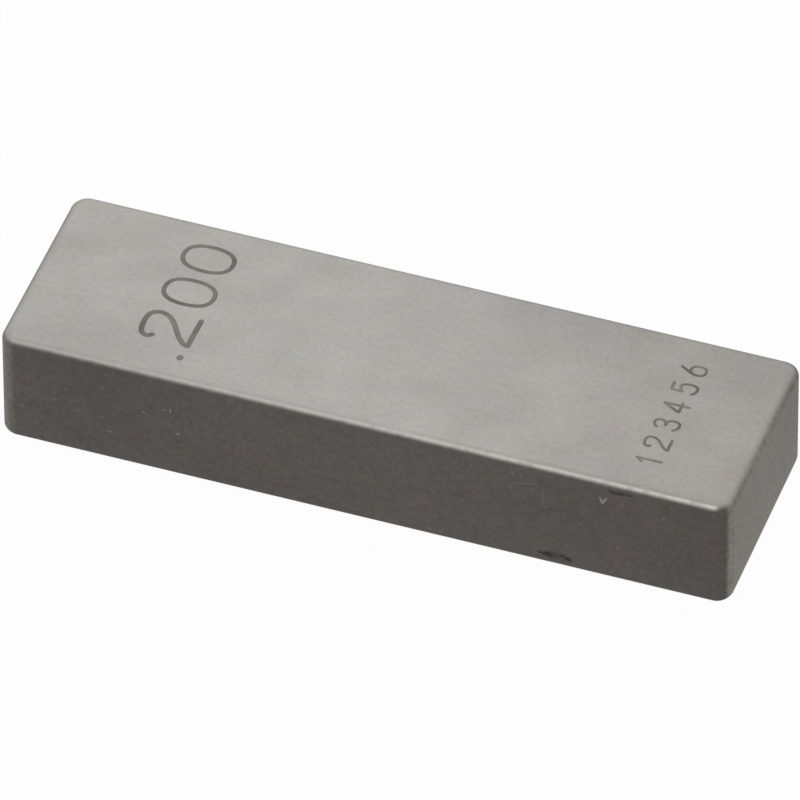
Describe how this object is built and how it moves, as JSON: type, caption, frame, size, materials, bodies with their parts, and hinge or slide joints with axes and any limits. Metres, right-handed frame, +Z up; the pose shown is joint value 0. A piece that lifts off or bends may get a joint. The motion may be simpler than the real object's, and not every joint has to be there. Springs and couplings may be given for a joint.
{
  "type": "gauge block",
  "caption": "Rectangular steel gauge block: a flat bar with lapped measuring faces above and below, rounded corners and softened edges.",
  "frame": {"origin": "middle of the lower measuring face, on which the block rests", "axes": "+X along the block's length, away from the end with the size mark; +Y across its width, away from the dented side; +Z up through the measuring faces"},
  "size_m": [0.03, 0.009, 0.0051],
  "materials": {
    "lapped_steel": "lapped satin on the measuring faces, fine ground on the sides and ends"
  },
  "bodies": {
    "root": {"gauge_block": "lapped_steel"}
  },
  "joints": []
}
